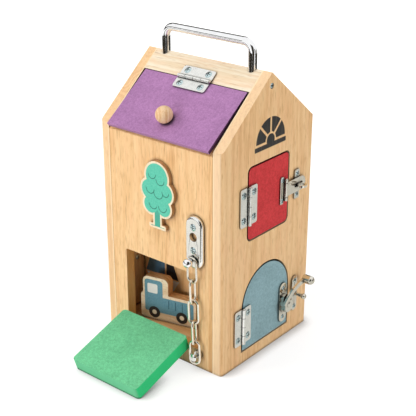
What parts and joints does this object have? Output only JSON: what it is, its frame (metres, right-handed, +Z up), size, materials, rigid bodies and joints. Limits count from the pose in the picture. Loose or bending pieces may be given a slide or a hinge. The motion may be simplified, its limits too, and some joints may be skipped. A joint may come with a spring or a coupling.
{
  "type": "latch lock box",
  "caption": "Wooden toy house with a carry handle, a lift-up roof lid, a drop-down front door with a chain, and side doors with a hasp and a lever latch.",
  "frame": {"origin": "centre of the house's flat underside, on the ground", "axes": "+Z up to the ridge and handle, -Y out of the front with the drop-down door, +X out of the side with the square and arched doors"},
  "size_m": [0.1885, 0.2497, 0.351],
  "materials": {
    "wood": "satin clear lacquer",
    "purple_board": "dyed board, matt",
    "green_board": "dyed board, matt",
    "red_board": "dyed board, matt",
    "blue_board": "dyed board, matt",
    "printed_plaque": "printed plywood",
    "printed_block": "printed plywood",
    "chrome": "polished",
    "screw_zinc": "bright zinc",
    "plated_steel": "nickel plated"
  },
  "bodies": {
    "house": {"left_gable": "wood", "right_gable": "wood", "front_panel": "wood", "back_panel": "wood", "base_board": "wood", "lower_floor": "wood", "upper_floor": "wood", "inner_wall": "wood", "ridge_beam": "wood", "rear_roof_panel": "wood", "gable_screws": "screw_zinc", "carry_handle": "chrome", "handle_screws": "screw_zinc", "lid_hinge_fixed_leaf": "plated_steel", "lid_hinge_pin": "plated_steel", "drop_hinge_fixed_leaf": "plated_steel", "drop_hinge_pin": "plated_steel", "square_hinge_fixed_leaf": "plated_steel", "square_hinge_pin": "plated_steel", "arch_hinge_fixed_leaf": "plated_steel", "arch_hinge_pin": "plated_steel", "fixed_hinge_screws": "screw_zinc", "plate_screws": "screw_zinc", "chain_plate": "plated_steel", "chain_anchor": "plated_steel", "staple_plate": "plated_steel", "keeper": "plated_steel", "front_plaque": "printed_plaque"},
    "lid": {"roof_lid": "purple_board", "lid_knob": "wood", "knob_screw": "screw_zinc", "lid_hinge_moving_leaf": "plated_steel", "lid_hinge_moving_screws": "screw_zinc"},
    "drop_door_body": {"drop_door": "green_board", "drop_hinge_moving_leaf": "plated_steel", "drop_hinge_moving_screws": "screw_zinc"},
    "stud": {"chain_stud": "chrome"},
    "link_1": {"chain_link_1": "plated_steel"},
    "link_2": {"chain_link_2": "plated_steel"},
    "link_3": {"chain_link_3": "plated_steel"},
    "link_4": {"chain_link_4": "plated_steel"},
    "link_5": {"chain_link_5": "plated_steel"},
    "square_door_body": {"square_door": "red_board", "square_hinge_moving_leaf": "plated_steel", "square_hinge_moving_screws": "screw_zinc", "hasp_base": "plated_steel", "hasp_pin": "plated_steel", "hasp_base_screws": "screw_zinc"},
    "hasp": {"hasp_leaf": "plated_steel"},
    "staple": {"swivel_staple": "plated_steel"},
    "arch_door_body": {"arch_door": "blue_board", "arch_hinge_moving_leaf": "plated_steel", "arch_hinge_moving_screws": "screw_zinc", "latch_base": "plated_steel", "latch_base_screws": "screw_zinc", "latch_pivot": "plated_steel"},
    "lever": {"latch_lever": "plated_steel"},
    "block": {"play_block": "printed_block"}
  },
  "joints": [
    {"name": "lid_hinge", "type": "hinge", "parent": "house", "child": "lid", "pos_m": [0, -0.02351, 0.30387], "axis": [-1, 0, 0], "range_deg": [0, 120]},
    {"name": "drop_door_hinge", "type": "hinge", "parent": "house", "child": "drop_door_body", "pos_m": [-0.0032, -0.082, 0.0235], "axis": [-1, 0, 0], "range_deg": [0, 107.2]},
    {"name": "chain_stud_slide", "type": "slide", "parent": "house", "child": "stud", "axis": [0, 0, 1], "range_m": [0, 0.004]},
    {"name": "chain_link_1_swing", "type": "hinge", "parent": "stud", "child": "link_1", "pos_m": [0.0495, -0.08681, 0.132], "axis": [0, -1, 0], "range_deg": [0, 10]},
    {"name": "chain_link_2_swing", "type": "hinge", "parent": "link_1", "child": "link_2", "pos_m": [0.05014, -0.08681, 0.11286], "axis": [0, -1, 0], "range_deg": [-6.5, 0.5]},
    {"name": "chain_link_3_swing", "type": "hinge", "parent": "link_2", "child": "link_3", "pos_m": [0.05121, -0.08681, 0.08067], "axis": [0, -1, 0], "range_deg": [-6.5, 0.5]},
    {"name": "chain_link_4_swing", "type": "hinge", "parent": "link_3", "child": "link_4", "pos_m": [0.05177, -0.08681, 0.06388], "axis": [0, -1, 0], "range_deg": [-6.5, 0.5]},
    {"name": "chain_link_5_swing", "type": "hinge", "parent": "link_4", "child": "link_5", "pos_m": [0.05284, -0.08681, 0.0317], "axis": [0, -1, 0], "range_deg": [-11.5, 1]},
    {"name": "square_door_hinge", "type": "hinge", "parent": "house", "child": "square_door_body", "pos_m": [0.086, -0.03705, 0.1865], "axis": [0, 0, -1], "range_deg": [0, 110]},
    {"name": "hasp_leaf_hinge", "type": "hinge", "parent": "square_door_body", "child": "hasp", "pos_m": [0.086, 0.027, 0.1847], "axis": [0, 0, -1], "range_deg": [0, 150]},
    {"name": "staple_turn", "type": "hinge", "parent": "house", "child": "staple", "pos_m": [0.0835, 0.049, 0.1847], "axis": [1, 0, 0], "range_deg": [0, 90]},
    {"name": "arch_door_hinge", "type": "hinge", "parent": "house", "child": "arch_door_body", "pos_m": [0.086, -0.04405, 0.0475], "axis": [0, 0, -1], "range_deg": [0, 110]},
    {"name": "latch_lever_pivot", "type": "hinge", "parent": "arch_door_body", "child": "lever", "pos_m": [0.0912, 0.0295, 0.046], "axis": [1, 0, 0], "range_deg": [-24, 45]},
    {"name": "play_block_lift", "type": "slide", "parent": "house", "child": "block", "axis": [0, 0, 1], "range_m": [0, 0.02]}
  ],
  "couplings": [
    {"joint": "chain_link_2_swing", "follows": "chain_link_1_swing", "ratio": -0.5},
    {"joint": "chain_link_3_swing", "follows": "chain_link_1_swing", "ratio": -0.5},
    {"joint": "chain_link_4_swing", "follows": "chain_link_1_swing", "ratio": -0.5},
    {"joint": "chain_link_5_swing", "follows": "chain_link_1_swing", "ratio": -0.9}
  ]
}
